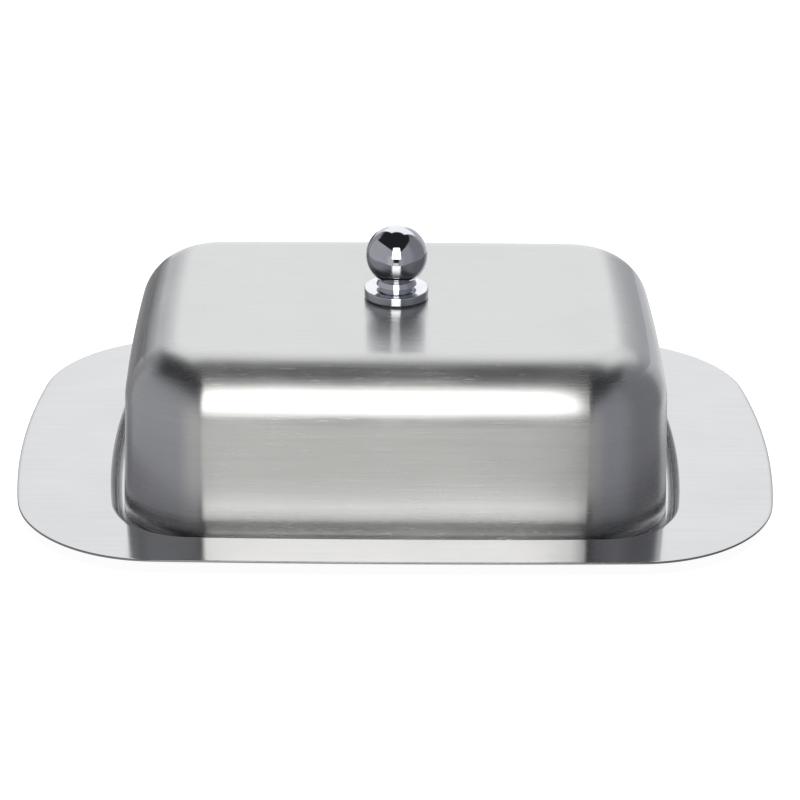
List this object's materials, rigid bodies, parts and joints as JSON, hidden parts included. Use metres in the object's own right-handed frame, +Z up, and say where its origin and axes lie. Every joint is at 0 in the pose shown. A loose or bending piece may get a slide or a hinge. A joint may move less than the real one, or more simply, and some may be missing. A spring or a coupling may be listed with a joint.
{
  "type": "butter dish",
  "caption": "Metal butter dish: a flat rounded tray with a sunken well, and a deep box-shaped lid with rounded edges that lifts off by a ball knob on a round rosette.",
  "frame": {"origin": "middle of the underside of the tray's well, on the surface that the dish stands on", "axes": "+Z up, +X along the dish's length, +Y to the back; the long front side faces -Y"},
  "size_m": [0.2, 0.14, 0.0664],
  "materials": {
    "tray_steel": "polished stainless steel sheet, nearly a mirror on the rim",
    "lid_steel": "satin stainless steel with a fine grain along the length",
    "knob_chrome": "polished chrome plating",
    "gasket_silicone": "thin matt silicone",
    "fastener_steel": "plain stainless steel"
  },
  "bodies": {
    "tray": {"tray": "tray_steel"},
    "lid": {"lid_shell": "lid_steel", "knob_ball": "knob_chrome", "knob_rosette": "knob_chrome", "knob_gasket": "gasket_silicone", "spring_washer": "fastener_steel", "knob_screw": "fastener_steel"}
  },
  "joints": [
    {"name": "lid_lift", "type": "slide", "parent": "tray", "child": "lid", "axis": [0, 0, 1], "range_m": [0, 0.1]}
  ]
}
